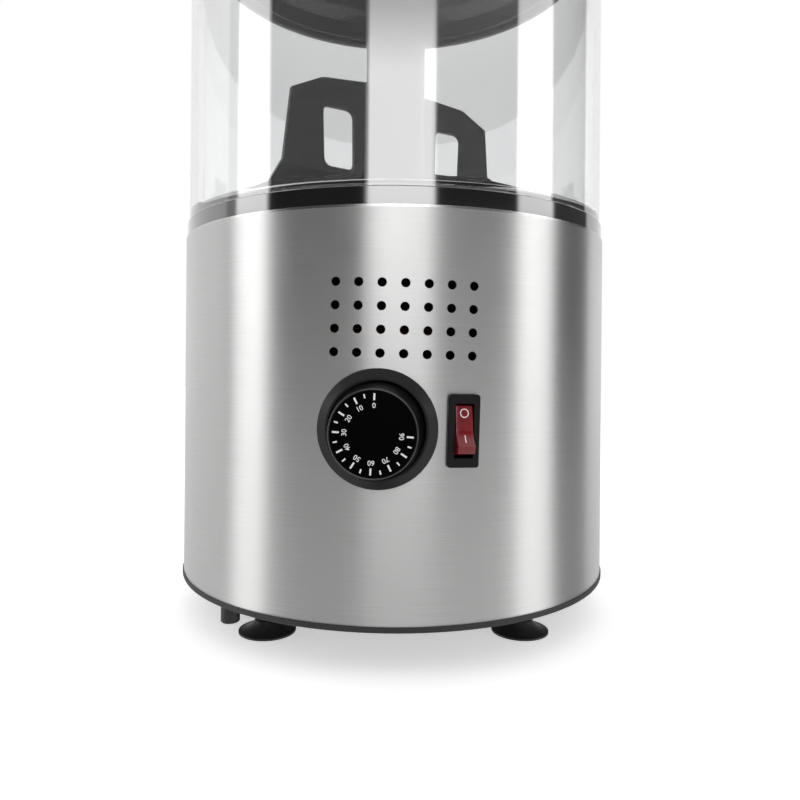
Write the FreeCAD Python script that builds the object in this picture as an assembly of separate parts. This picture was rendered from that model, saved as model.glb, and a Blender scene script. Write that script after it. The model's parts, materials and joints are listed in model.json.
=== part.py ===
import FreeCAD, Part
import math
import os

# Hot chocolate dispenser: a brushed steel drum with a clear tank on a water bath,
# a stirring paddle, a front tap over a drip tray, and the controls at the back.
# Millimetres, +Z up, origin on the drum's axis at the level of the feet.
# The tap faces -Y and the control panel faces +Y.

V = FreeCAD.Vector

# Clearances
RUNNING_GAP = 0.05
FIT_GAP = 0.15
PART_GAP = 0.3

# Drum and base
BODY_R = 118.0
JACKET_WALL = 0.8
JACKET_H = 177.6
FOOT_H = 19.3
LIP_T = 2.7
LIP_OVERHANG = 0.6
UPSTAND_H = 9.0
UPSTAND_T = 2.0
JACKET_Z0 = FOOT_H + LIP_T
JACKET_Z1 = JACKET_Z0 + JACKET_H

# Suction feet
FOOT_SQUARE = 126.4
FOOT_NAMES = ["front_left", "front_right", "back_right", "back_left"]
CUP_R = 14.15
CONE_TOP_Z = 6.5
NECK_R = 5.5
STUD_R = 2.5
STUD_SEAT_Z = 9.0
NUT_FLATS = 8.0
NUT_T = 4.0

# Control panel, measured on the drum's surface from the middle of the vents
PANEL_DROP = 47.2
PANEL_OFFSET = 2.0
PANEL_TILT = 1.3
PANEL_Z = JACKET_Z1 - PANEL_DROP
VENT_ROWS = 4
VENT_COLUMNS = 7
VENT_PITCH = 10.0
VENT_R = 2.0
DIAL_U = -10.0
CONTROLS_V = -47.0
SWITCH_U = 26.6

# Dial and its thermostat
BEZEL_R = 25.6
BEZEL_BORE = 20.9
BEZEL_T = 4.6
KNOB_BASE_R = 20.5
KNOB_FACE_R = 17.8
KNOB_H = 24.5
KNOB_FOOT = 1.3
KNOB_WALL = 2.4
SPINDLE_R = 3.0
SPINDLE_END = 17.5
BUSH_R = 5.0
THERMOSTAT_W = 34.0
THERMOSTAT_H = 38.0
THERMOSTAT_D = 28.0
THERMOSTAT_FRONT = -2.3

# Rocker switch
SWITCH_W = 14.2
SWITCH_H = 31.3
SWITCH_RIM = 2.0
SWITCH_BODY_W = 11.8
SWITCH_BODY_H = 28.4
SWITCH_DEPTH = 24.0
ROCKER_W = 7.8
ROCKER_HALF = 10.5
ROCKER_AXIS = -1.5
ROCKER_PIN_R = 1.3
ROCKER_REST_DEG = 9.0

# Water bath and heater
BATH_RIM_T = 1.1
BATH_WALL = 1.0
BATH_R = BODY_R - 14.0
BATH_DEPTH = 49.6
BATH_TUBE_R = 14.0
BATH_RIM_Z = JACKET_Z1 + BATH_RIM_T
BATH_FLOOR_Z = JACKET_Z1 - BATH_DEPTH
BATH_UNDER_Z = BATH_FLOOR_Z - BATH_WALL
BATH_TUBE_TOP_Z = BATH_RIM_Z - 3.0
HEATER_R = 70.0
HEATER_HALF = 4.0
CUTOUT_Y = 42.0
BULB_Y = BATH_R - 16.0
BULB_R = 3.0
BULB_X0 = -20.0
BULB_X1 = 34.0
CAPILLARY_R = 1.0
CAPILLARY_BEND = 8.0

# Tank and its seal
SEAL_T = 1.5
SEAL_RIM_T = 1.0
SEAL_H = 8.1
TANK_R = BODY_R - 1.6
TANK_WALL = 3.0
TANK_H = 176.0
TANK_TUBE_R = 14.0
TANK_TUBE_WALL = 2.5
TANK_TUBE_H = 121.0
CLEAR_R = TANK_R - TANK_WALL
SEAL_R = TANK_R + SEAL_RIM_T
TANK_Z0 = BATH_RIM_Z + SEAL_T
SEAL_TOP_Z = BATH_RIM_Z + SEAL_H
TANK_FLOOR_Z = SEAL_TOP_Z
TANK_Z1 = TANK_FLOOR_Z + TANK_H
TUBE_TOP_Z = TANK_FLOOR_Z + TANK_TUBE_H

# Drive
SHAFT_R = 5.0
SHAFT_SQUARE = 7.0
SQUARE_H = 12.0
MOTOR_R = 30.0
MOTOR_H = 38.0
GEARBOX_R = 36.0
GEARBOX_H = 34.0
POST_SPACING = 84.0
POST_H = 18.0
PLATE_T = 2.0
POST_TOP_Z = JACKET_Z0 + POST_H
MOTOR_Z = POST_TOP_Z + PLATE_T
GEARBOX_Z = MOTOR_Z + MOTOR_H
BOSS_Z = GEARBOX_Z + GEARBOX_H

# Paddle
HUB_R = 17.4
HUB_GAP = 0.6
WING_T = 3.0
WING_R = CLEAR_R - 20.4
WING_BEND_Z = TANK_FLOOR_Z + 30.7
WING_BOTTOM_Z = TANK_FLOOR_Z + 3.2
WINDOW_W = 19.5
WINDOW_H = 34.0
WINDOW_X = 38.2
PADDLE_REST_DEG = 33.0

# Tap, with its levels counted from the tank's floor
NOSE_Y = -(SEAL_R + 4.6)
NOSE_HALF = 20.0
NOSE_INNER_Y = -CLEAR_R + 5.4
TAP_AXIS_Y = NOSE_Y - 20.0
TAP_R = 15.0
TAP_BORE = 10.5
TAP_OUTLET_R = 8.0
TAP_BOTTOM_Z = TANK_FLOOR_Z - 30.8
TAP_SEAT_Z = TANK_FLOOR_Z + 2.7
TAP_TOP_Z = TANK_FLOOR_Z + 59.2
TAP_CAP_T = 4.0
PORT_Z = TANK_FLOOR_Z + 12.7
PORT_R = 7.0
SPIGOT_R = 9.0
SPIGOT_END_Y = NOSE_INNER_Y + 10.0
FLANGE_R = 17.0
FLANGE_T = 4.0
TAP_NUT_R = 12.2
EAR_X = 12.6
EAR_T = 4.0
STEM_R = 4.0
SPOOL_R = 8.5
PISTON_TOP_Z = TANK_FLOOR_Z + 33.2
PISTON_RING_Z = TANK_FLOOR_Z + 27.2
GROOVE_Z = TANK_FLOOR_Z + 72.2
TAP_LIFT = 16.0
LEVER_ARM = 23.0
LEVER_PIN_R = 2.5
LEVER_TIP_R = 2.5
HANDLE_L = 62.0
HANDLE_DROP_DEG = 14.0

# Lid
LID_WALL = 2.5
LID_SKIRT_H = 11.0
LID_RISE = 33.0
LID_TOP_Z = TANK_Z1 + PART_GAP + LID_RISE
CROWN_R = 42.0

# Drip tray
TRAY_R = 75.0
TRAY_CENTRE_Y = -(BODY_R + 70.0)
TRAY_Z = 24.0
TRAY_H = 26.0
TRAY_WALL = 2.5
TRAY_GAP = 3.0
TRAY_LIFT = 18.0
HOOK_X = 30.0
HOOK_W = 8.0
HOOK_T = 6.0
HOOK_TOP_Z = 46.0
HOOK_LIP_DROP = 12.0
HOOK_SEAT_Z = HOOK_TOP_Z - HOOK_T - PART_GAP
GRID_T = 2.0
GRID_Z = TRAY_Z + TRAY_H - 3.0

# Cord gland
GLAND_AZIMUTH = -46.0
GLAND_AXIS_R = BODY_R - 8.3
GLAND_R = 4.5
GLAND_BORE = 3.2
GLAND_DROP = 10.0


# Basic solids

def cylinder(radius, z0, z1, x=0.0, y=0.0):
    return Part.makeCylinder(radius, z1 - z0, V(x, y, z0))


def tube(outer, inner, z0, z1, x=0.0, y=0.0):
    return cylinder(outer, z0, z1, x, y).cut(cylinder(inner, z0 - 1, z1 + 1, x, y))


def block(x0, x1, y0, y1, z0, z1):
    return Part.makeBox(x1 - x0, y1 - y0, z1 - z0, V(x0, y0, z0))


def bar(radius, start, end):
    run = end.sub(start)
    return Part.makeCylinder(radius, run.Length, start, run)


def turned(points):
    """Solid of revolution about Z. A point is (r, z), or (r, z, r_mid, z_mid)
    where an arc through the middle point leads to it."""
    edges = []
    last = V(points[0][0], 0, points[0][1])
    for point in points[1:] + points[:1]:
        here = V(point[0], 0, point[1])
        if here.distanceToPoint(last) < 1e-6:
            continue
        if len(point) == 4:
            edges.append(Part.Arc(last, V(point[2], 0, point[3]), here).toShape())
        else:
            edges.append(Part.makeLine(last, here))
        last = here
    face = Part.Face(Part.Wire(edges))
    return face.revolve(V(0, 0, 0), V(0, 0, 1), 360)


def prism(points, depth):
    """Extrude a polygon given in the XY plane along +Z."""
    wire = Part.makePolygon([V(x, y, 0) for x, y in points + points[:1]])
    return Part.Face(wire).extrude(V(0, 0, depth))


def rounded_plate(width, height, radius, z0, z1):
    plate = block(-width / 2, width / 2, -height / 2, height / 2, z0, z1)
    corners = [e for e in plate.Edges if abs(e.Vertexes[0].Z - e.Vertexes[-1].Z) > 1e-6]
    return plate.makeFillet(radius, corners)


def hexagon(flats, z0, z1, x=0.0, y=0.0):
    corner = flats / math.sqrt(3)
    points = []
    for i in range(6):
        angle = math.radians(60 * i)
        points.append((x + corner * math.cos(angle), y + corner * math.sin(angle)))
    shape = prism(points, z1 - z0)
    shape.translate(V(0, 0, z0))
    return shape


def round_edges(shape, radius, keep):
    """Fillet the edges whose bounding box passes the test."""
    edges = [e for e in shape.Edges if keep(e.BoundBox)]
    return shape.makeFillet(radius, edges)


def flat_ring_at(z, radius):
    """Test for a full circle of this radius at this height, about the Z axis."""
    def keep(box):
        level = abs(box.ZMin - z) < 1e-3 and abs(box.ZMax - z) < 1e-3
        return level and abs(box.XMax - radius) < 1e-2 and abs(box.XMin + radius) < 1e-2
    return keep


def turn_z(shape, degrees):
    shape = shape.copy()
    shape.rotate(V(0, 0, 0), V(0, 0, 1), degrees)
    return shape


# Frame of the control panel: local X to the right of someone facing the panel,
# local Y up, local Z straight out of the drum.

def panel_frame(u, v):
    tilt = math.radians(PANEL_TILT)
    arc = u * math.cos(tilt) + v * math.sin(tilt) + PANEL_OFFSET
    rise = -u * math.sin(tilt) + v * math.cos(tilt) + PANEL_Z
    angle = arc / BODY_R
    normal = V(-math.sin(angle), math.cos(angle), 0)
    right = V(-math.cos(angle), -math.sin(angle), 0)
    facing = FreeCAD.Rotation(right, V(0, 0, 1), normal, "ZXY")
    lean = FreeCAD.Rotation(V(0, 0, 1), -PANEL_TILT)
    origin = V(BODY_R * normal.x, BODY_R * normal.y, rise)
    return FreeCAD.Placement(origin, facing.multiply(lean))


def on_panel(shape, u, v):
    shape = shape.copy()
    shape.transformShape(panel_frame(u, v).toMatrix(), True)
    return shape


# Drum

def body_shell():
    shell = tube(BODY_R, BODY_R - JACKET_WALL, JACKET_Z0, JACKET_Z1)
    drills = []
    for row in range(VENT_ROWS):
        for column in range(VENT_COLUMNS):
            u = (column - (VENT_COLUMNS - 1) / 2) * VENT_PITCH
            v = (row - (VENT_ROWS - 1) / 2) * VENT_PITCH
            drills.append(on_panel(cylinder(VENT_R, -4, 4), u, v))
    drills.append(on_panel(cylinder(BUSH_R + PART_GAP, -6, 4), DIAL_U, CONTROLS_V))
    cutout = rounded_plate(SWITCH_BODY_W + 0.4, SWITCH_BODY_H + 0.4, 0.6, -6, 4)
    drills.append(on_panel(cutout, SWITCH_U, CONTROLS_V))
    for side in (-1, 1):
        half = HOOK_W / 2 + 0.6
        x = side * HOOK_X
        slot_top = HOOK_TOP_Z + TRAY_LIFT + PART_GAP
        drills.append(block(x - half, x + half, -BODY_R - 5, -BODY_R + 15, HOOK_SEAT_Z, slot_top))
    return shell.cut(drills)


def base_pan():
    lip_r = BODY_R + LIP_OVERHANG
    upstand_r = BODY_R - JACKET_WALL - FIT_GAP
    pan = cylinder(lip_r, FOOT_H, JACKET_Z0)
    pan = round_edges(pan, 0.8, flat_ring_at(FOOT_H, lip_r))
    pan = pan.fuse(tube(upstand_r, upstand_r - UPSTAND_T, JACKET_Z0, JACKET_Z0 + UPSTAND_H))
    for x in (-POST_SPACING / 2, POST_SPACING / 2):
        for y in (-POST_SPACING / 2, POST_SPACING / 2):
            pan = pan.fuse(cylinder(5, JACKET_Z0, POST_TOP_Z, x, y))
    holes = []
    for x, y in foot_places():
        holes.append(cylinder(STUD_R + 0.25, FOOT_H - 1, JACKET_Z0 + 1, x, y))
    gland_x, gland_y = gland_place()
    holes.append(cylinder(GLAND_R - 0.6, FOOT_H - 1, JACKET_Z0 + 1, gland_x, gland_y))
    slot = block(-1.5, 1.5, 16, 42, FOOT_H - 1, JACKET_Z0 + 1)
    for i in range(12):
        holes.append(turn_z(slot, 30 * i + 15))
    return pan.cut(holes)


def foot_places():
    half = FOOT_SQUARE / 2
    return [(-half, -half), (half, -half), (half, half), (-half, half)]


def gland_place():
    angle = math.radians(GLAND_AZIMUTH)
    return -GLAND_AXIS_R * math.sin(angle), GLAND_AXIS_R * math.cos(angle)


def suction_foot():
    """Rubber cup turned about its own axis: neck, flared cone, thin rim and hollow."""
    rim = CUP_R
    return turned([
        (0, 3.6),
        (2, 3.6),
        (rim - 1.6, 0, rim * 0.6, 2.5),
        (rim, 0),
        (rim, 0.9),
        (NECK_R + 0.6, CONE_TOP_Z - 0.4, rim * 0.62, 2.9),
        (NECK_R - 0.3, CONE_TOP_Z),
        (NECK_R, CONE_TOP_Z + 1.2),
        (NECK_R, FOOT_H - 3.0),
        (NECK_R + 1.6, FOOT_H, NECK_R + 0.3, FOOT_H - 1.2),
        (STUD_R + RUNNING_GAP, FOOT_H),
        (STUD_R + RUNNING_GAP, STUD_SEAT_Z),
        (0, STUD_SEAT_Z),
    ])


def foot_stud():
    """Threaded stud moulded into the cup, with its nut on the base."""
    stud = cylinder(STUD_R, STUD_SEAT_Z, JACKET_Z0 + NUT_T + 3)
    return stud.fuse(hexagon(NUT_FLATS, JACKET_Z0, JACKET_Z0 + NUT_T))


def cord_gland():
    x, y = gland_place()
    body = turned([
        (GLAND_BORE, FOOT_H - GLAND_DROP),
        (GLAND_R - 0.5, FOOT_H - GLAND_DROP),
        (GLAND_R, FOOT_H - GLAND_DROP + 0.5),
        (GLAND_R, FOOT_H),
        (GLAND_R - 0.75, FOOT_H),
        (GLAND_R - 0.75, JACKET_Z0 + 5),
        (GLAND_BORE, JACKET_Z0 + 5),
    ])
    body.translate(V(x, y, 0))
    return body


def gland_nut():
    x, y = gland_place()
    nut = cylinder(5.2, JACKET_Z0, JACKET_Z0 + 3, x, y)
    return nut.cut(cylinder(GLAND_R - 0.7, JACKET_Z0 - 1, JACKET_Z0 + 4, x, y))


# Controls

def dial_bezel():
    """Ring round the knob, bevelled on its face; its back clears the fixing nut."""
    ring = turned([
        (BEZEL_BORE, 0.05),
        (BEZEL_R, 0.05),
        (BEZEL_R, 1.6),
        (BEZEL_BORE + 0.8, BEZEL_T),
        (BEZEL_BORE, BEZEL_T),
    ])
    web = tube(BEZEL_BORE, BUSH_R + RUNNING_GAP, 0.05, 1.0)
    return on_panel(ring.fuse(web), DIAL_U, CONTROLS_V)


def dial_knob():
    """Moulded cap: tapered wall, rounded face edge and a hub for the spindle."""
    face = KNOB_H
    shell = turned([
        (0, face),
        (KNOB_FACE_R - 0.9, face),
        (KNOB_FACE_R, face - 0.9, KNOB_FACE_R - 0.26, face - 0.26),
        (KNOB_BASE_R, KNOB_FOOT),
        (KNOB_BASE_R - KNOB_WALL, KNOB_FOOT),
        (KNOB_FACE_R - KNOB_WALL, face - KNOB_WALL),
        (0, face - KNOB_WALL),
    ])
    hub = cylinder(6, 6.0, face - KNOB_WALL)
    bore = cylinder(SPINDLE_R + RUNNING_GAP, 5, SPINDLE_END + 0.5)
    return on_panel(shell.fuse(hub).cut(bore), DIAL_U, CONTROLS_V)


def dial_spindle():
    spindle = cylinder(SPINDLE_R, -8, SPINDLE_END)
    flat = block(SPINDLE_R - 0.7, SPINDLE_R + 1, -4, 4, 9, SPINDLE_END + 1)
    return on_panel(spindle.cut(flat), DIAL_U, CONTROLS_V)


def thermostat_body():
    """Capillary thermostat: moulded case, threaded bush and three blade terminals."""
    back = THERMOSTAT_FRONT - THERMOSTAT_D
    case = rounded_plate(THERMOSTAT_W, THERMOSTAT_H, 3, back, THERMOSTAT_FRONT)
    case = case.fuse(cylinder(BUSH_R + 1.5, THERMOSTAT_FRONT, -JACKET_WALL - 0.25))
    case = case.fuse(cylinder(BUSH_R, -JACKET_WALL - 0.3, 4.4))
    for x in (-9, 0, 9):
        case = case.fuse(block(x - 3, x + 3, -12, -11.2, back - 8, back + 0.5))
    bore = cylinder(SPINDLE_R + RUNNING_GAP, -8.3, 5)
    return on_panel(case.cut(bore), DIAL_U, CONTROLS_V)


def thermostat_nut():
    nut = hexagon(13, 1.05, 4.0).cut(cylinder(BUSH_R + RUNNING_GAP, 0, 5))
    return on_panel(nut, DIAL_U, CONTROLS_V)


def switch_frame():
    rim = rounded_plate(SWITCH_W, SWITCH_H, 1.4, 0.05, SWITCH_RIM)
    rim = round_edges(rim, 0.5, lambda box: box.ZMin > SWITCH_RIM - 1e-3)
    body = rounded_plate(SWITCH_BODY_W, SWITCH_BODY_H, 0.5, -SWITCH_DEPTH, 0.3)
    frame = rim.fuse(body)
    well = rounded_plate(ROCKER_W + 0.8, 2 * ROCKER_HALF + 2.2, 0.4, -8, 4)
    pin = bar(ROCKER_PIN_R + RUNNING_GAP, V(-5.2, 0, ROCKER_AXIS), V(5.2, 0, ROCKER_AXIS))
    frame = frame.cut([well, pin])
    for y in (-9, 0, 9):
        frame = frame.fuse(block(-3.1, 3.1, y - 0.4, y + 0.4, -SWITCH_DEPTH - 9, -SWITCH_DEPTH + 0.5))
    return on_panel(frame, SWITCH_U, CONTROLS_V)


def rocker():
    """Rocking key with a shallow V face, a keel below and a pin on each side."""
    half = ROCKER_HALF
    profile = [
        (-half, -1.6), (-half, 3.2), (0, 1.7), (half, 3.2), (half, -1.6),
        (2.6, -3.6), (-2.6, -3.6),
    ]
    key = prism(profile, ROCKER_W)
    key.translate(V(0, 0, -ROCKER_W / 2))
    key.transformShape(FreeCAD.Placement(V(0, 0, 0), FreeCAD.Rotation(
        V(0, 1, 0), V(0, 0, 1), V(1, 0, 0), "ZXY")).toMatrix(), True)
    key = key.fuse(bar(ROCKER_PIN_R, V(-4.9, 0, ROCKER_AXIS), V(4.9, 0, ROCKER_AXIS)))
    key.rotate(V(0, 0, ROCKER_AXIS), V(1, 0, 0), -ROCKER_REST_DEG)
    return on_panel(key, SWITCH_U, CONTROLS_V)


# Water bath and heater

def bath_pan():
    floor = BATH_FLOOR_Z
    wall = BATH_R + BATH_WALL
    return turned([
        (BATH_TUBE_R - BATH_WALL, floor - BATH_WALL),
        (wall - 4, floor - BATH_WALL),
        (wall, floor - BATH_WALL + 4, wall - 1.2, floor - BATH_WALL + 1.2),
        (wall, JACKET_Z1),
        (BODY_R, JACKET_Z1),
        (BODY_R, BATH_RIM_Z),
        (BATH_R, BATH_RIM_Z),
        (BATH_R, floor + 3),
        (BATH_R - 3, floor, BATH_R - 0.9, floor + 0.9),
        (BATH_TUBE_R, floor),
        (BATH_TUBE_R, BATH_TUBE_TOP_Z),
        (BATH_TUBE_R - BATH_WALL, BATH_TUBE_TOP_Z),
    ])


def heater_ring():
    h = HEATER_HALF
    z = BATH_UNDER_Z - h
    ring = turned([
        (HEATER_R - h, z + h), (HEATER_R - h, z - 1), (HEATER_R - h + 2, z - h),
        (HEATER_R + h - 2, z - h), (HEATER_R + h, z - 1), (HEATER_R + h, z + h),
    ])
    for x in (-12, 12):
        y = -math.sqrt(HEATER_R ** 2 - x ** 2)
        ring = ring.fuse(bar(3, V(x, y, z), V(x, y, z - 16)))
    return ring


def overheat_cutout():
    y = CUTOUT_Y
    disc = cylinder(9, BATH_UNDER_Z - 6, BATH_UNDER_Z, 0, y)
    for side in (-4, 4):
        disc = disc.fuse(block(side - 0.4, side + 0.4, y - 3, y + 3,
                               BATH_UNDER_Z - 14, BATH_UNDER_Z - 5))
    return disc


def thermostat_bulb():
    z = BATH_UNDER_Z - BULB_R
    return bar(BULB_R, V(BULB_X0, BULB_Y, z), V(BULB_X1, BULB_Y, z))


def capillary():
    """Thin tube from the bulb's end, down in a half turn and into the thermostat's side."""
    z = BATH_UNDER_Z - BULB_R
    inlet = V(-THERMOSTAT_W / 2, THERMOSTAT_H / 4, THERMOSTAT_FRONT - THERMOSTAT_D / 2)
    case = panel_frame(DIAL_U, CONTROLS_V).multVec(inlet)
    out = BULB_X1 + CAPILLARY_BEND
    leave = V(BULB_X1, BULB_Y, z)
    top = V(out, BULB_Y, z)
    low = V(out, case.y, case.z)
    middle = top.add(low).multiply(0.5).add(V(top.distanceToPoint(low) / 2, 0, 0))
    path = Part.Wire([
        Part.makeLine(leave, top),
        Part.Arc(top, middle, low).toShape(),
        Part.makeLine(low, V(case.x + RUNNING_GAP, case.y, case.z)),
    ])
    ring = Part.Wire(Part.makeCircle(CAPILLARY_R, leave, V(1, 0, 0)))
    return path.makePipeShell([ring], True, False)


def bath_bush():
    """Bearing for the drive shaft in the bath's centre tube."""
    top = BATH_TUBE_TOP_Z
    return turned([
        (SHAFT_R + RUNNING_GAP, top - 14),
        (BATH_TUBE_R - BATH_WALL - 0.05, top - 14),
        (BATH_TUBE_R - BATH_WALL - 0.05, top),
        (BATH_TUBE_R, top),
        (BATH_TUBE_R, top + 1.2),
        (SHAFT_R + RUNNING_GAP, top + 1.2),
    ])


# Drive

def motor_plate():
    half = POST_SPACING / 2 + 8
    plate = rounded_plate(2 * half, 2 * half, 6, POST_TOP_Z, POST_TOP_Z + PLATE_T)
    plate = plate.cut(cylinder(12, POST_TOP_Z - 1, POST_TOP_Z + 3))
    for x in (-POST_SPACING / 2, POST_SPACING / 2):
        for y in (-POST_SPACING / 2, POST_SPACING / 2):
            plate = plate.fuse(cylinder(3.4, POST_TOP_Z + PLATE_T, POST_TOP_Z + PLATE_T + 2.2, x, y))
    return plate


def motor():
    can = cylinder(MOTOR_R, MOTOR_Z, GEARBOX_Z)
    fins = []
    for i in range(16):
        groove = block(MOTOR_R - 1.5, MOTOR_R + 1, -1.5, 1.5, MOTOR_Z + 5, GEARBOX_Z - 5)
        fins.append(turn_z(groove, 22.5 * i))
    return can.cut(fins)


def gearbox():
    case = cylinder(GEARBOX_R, GEARBOX_Z, BOSS_Z - 6)
    case = case.fuse(cylinder(11, BOSS_Z - 6, BOSS_Z))
    for i in range(4):
        lug = cylinder(5, GEARBOX_Z, BOSS_Z - 8, GEARBOX_R, 0)
        case = case.fuse(turn_z(lug, 90 * i + 45))
    return case.cut(cylinder(SHAFT_R + RUNNING_GAP, BOSS_Z - 14, BOSS_Z + 1))


def drive_shaft():
    shaft = cylinder(SHAFT_R, BOSS_Z - 13.7, TUBE_TOP_Z + PART_GAP)
    half = SHAFT_SQUARE / 2
    square = block(-half, half, -half, half, TUBE_TOP_Z, TUBE_TOP_Z + SQUARE_H)
    return shaft.fuse(turn_z(square, PADDLE_REST_DEG))


def terminal_block():
    y = BODY_R - 33
    base = block(-24, 24, y - 7, y + 7, JACKET_Z0, JACKET_Z0 + 14)
    wells = []
    for i in range(5):
        x = -19.2 + 9.6 * i
        wells.append(cylinder(2.6, JACKET_Z0 + 6, JACKET_Z0 + 15, x, y))
    return base.cut(wells)


# Tank

def tank_nose():
    """Thick pad low on the bowl's front that carries the tap."""
    pad = block(-NOSE_HALF, NOSE_HALF, NOSE_Y, NOSE_INNER_Y, TANK_Z0 + 0.2, PORT_Z + 22)
    return pad.cut(cylinder(CLEAR_R - 5.4, TANK_Z0 - 2, TANK_FLOOR_Z))


def tank_gasket():
    """Black seal: a flat foot on the bath's rim and a low wall round the bowl."""
    seal = turned([
        (SEAL_R - 8, BATH_RIM_Z),
        (SEAL_R, BATH_RIM_Z),
        (SEAL_R, SEAL_TOP_Z - 0.4),
        (SEAL_R - 0.4, SEAL_TOP_Z),
        (TANK_R + RUNNING_GAP, SEAL_TOP_Z),
        (TANK_R + RUNNING_GAP, TANK_Z0),
        (SEAL_R - 8, TANK_Z0),
    ])
    return seal.cut(block(-NOSE_HALF, NOSE_HALF, NOSE_Y, NOSE_INNER_Y, TANK_Z0, SEAL_TOP_Z + 1))


def tank_bowl():
    """Clear bowl: foot on the seal, centring ring, wall, centre tube and nose."""
    floor_t = TANK_WALL
    ring_r = BATH_R - 1.0
    bowl = turned([
        (TANK_TUBE_R - TANK_TUBE_WALL, TANK_FLOOR_Z - floor_t),
        (ring_r - 3, TANK_FLOOR_Z - floor_t),
        (ring_r - 3, JACKET_Z1 - 8),
        (ring_r, JACKET_Z1 - 8),
        (ring_r, TANK_FLOOR_Z - floor_t),
        (CLEAR_R, TANK_FLOOR_Z - floor_t),
        (CLEAR_R, TANK_Z0),
        (TANK_R, TANK_Z0),
        (TANK_R, TANK_Z1),
        (CLEAR_R, TANK_Z1),
        (CLEAR_R, TANK_FLOOR_Z + 6),
        (CLEAR_R - 6, TANK_FLOOR_Z, CLEAR_R - 1.76, TANK_FLOOR_Z + 1.76),
        (TANK_TUBE_R, TANK_FLOOR_Z),
        (TANK_TUBE_R, TUBE_TOP_Z),
        (SHAFT_R + PART_GAP, TUBE_TOP_Z),
        (SHAFT_R + PART_GAP, TUBE_TOP_Z - 3),
        (TANK_TUBE_R - TANK_TUBE_WALL, TUBE_TOP_Z - 3),
    ])
    bowl = bowl.fuse(tank_nose())
    port = bar(SPIGOT_R + PART_GAP, V(0, NOSE_Y - 5, PORT_Z), V(0, NOSE_Y + 30, PORT_Z))
    return bowl.cut(port)


def tap_gasket():
    ring = bar(FLANGE_R, V(0, NOSE_Y, PORT_Z), V(0, NOSE_Y - 2, PORT_Z))
    return ring.cut(bar(SPIGOT_R + PART_GAP, V(0, NOSE_Y + 1, PORT_Z), V(0, NOSE_Y - 3, PORT_Z)))


def tap_body():
    """Upright valve tube with its flange and threaded spigot, two ears for the lever."""
    y = TAP_AXIS_Y
    flange_face = NOSE_Y - 2
    body = cylinder(TAP_R, TAP_BOTTOM_Z + 14, TAP_TOP_Z, 0, y)
    spout = Part.makeCone(TAP_OUTLET_R + 2, TAP_R, 14, V(0, y, TAP_BOTTOM_Z))
    body = body.fuse(spout)
    body = body.fuse(bar(FLANGE_R, V(0, flange_face, PORT_Z), V(0, flange_face - FLANGE_T, PORT_Z)))
    body = body.fuse(bar(12, V(0, flange_face - 1, PORT_Z), V(0, y, PORT_Z)))
    body = body.fuse(bar(SPIGOT_R, V(0, flange_face - 1, PORT_Z), V(0, SPIGOT_END_Y, PORT_Z)))
    pin_y, pin_z = lever_axis()
    for side in (-1, 1):
        x0 = side * EAR_X
        x1 = side * (EAR_X + EAR_T)
        ear = prism([
            (y + 2, TAP_TOP_Z - 30), (y - 14, TAP_TOP_Z - 34), (pin_y - 5.5, pin_z - 4),
            (pin_y - 4, pin_z + 4.5), (pin_y + 4, pin_z + 4.5), (y - 6, TAP_TOP_Z),
            (y + 2, TAP_TOP_Z),
        ], abs(x1 - x0))
        ear.transformShape(FreeCAD.Placement(V(min(x0, x1), 0, 0), FreeCAD.Rotation(
            V(0, 1, 0), V(0, 0, 1), V(1, 0, 0), "ZXY")).toMatrix(), True)
        body = body.fuse(ear)
    cuts = [
        cylinder(TAP_BORE, TAP_SEAT_Z, TAP_TOP_Z + 1, 0, y),
        cylinder(TAP_OUTLET_R, TAP_BOTTOM_Z - 1, TAP_SEAT_Z + 1, 0, y),
        bar(PORT_R, V(0, SPIGOT_END_Y + 1, PORT_Z), V(0, y, PORT_Z)),
        bar(LEVER_PIN_R + RUNNING_GAP, V(-20, pin_y, pin_z), V(20, pin_y, pin_z)),
    ]
    return body.cut(cuts)


def lever_axis():
    """Pin of the lever: its arm starts below the level by half of its swing."""
    half_swing = math.asin(TAP_LIFT / 2 / LEVER_ARM)
    back = LEVER_ARM * math.cos(half_swing)
    return TAP_AXIS_Y - back, GROOVE_Z + LEVER_ARM * math.sin(half_swing)


def tap_nut():
    y0 = NOSE_INNER_Y
    nut = bar(TAP_NUT_R, V(0, y0, PORT_Z), V(0, y0 + 7, PORT_Z))
    return nut.cut(bar(SPIGOT_R + RUNNING_GAP, V(0, y0 - 1, PORT_Z), V(0, y0 + 8, PORT_Z)))


def tap_cap():
    """Screw cap that closes the valve tube round the stem."""
    y = TAP_AXIS_Y
    cap = cylinder(TAP_R - 5.2, TAP_TOP_Z, TAP_TOP_Z + TAP_CAP_T, 0, y)
    cap = cap.fuse(tube(TAP_BORE - 0.1, TAP_BORE - 1.6, TAP_TOP_Z - 4, TAP_TOP_Z, 0, y))
    cap = cap.fuse(cylinder(TAP_BORE - 0.1, TAP_TOP_Z - 0.5, TAP_TOP_Z, 0, y))
    return cap.cut(cylinder(STEM_R + PART_GAP, TAP_TOP_Z - 5, TAP_TOP_Z + 6, 0, y))


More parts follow.
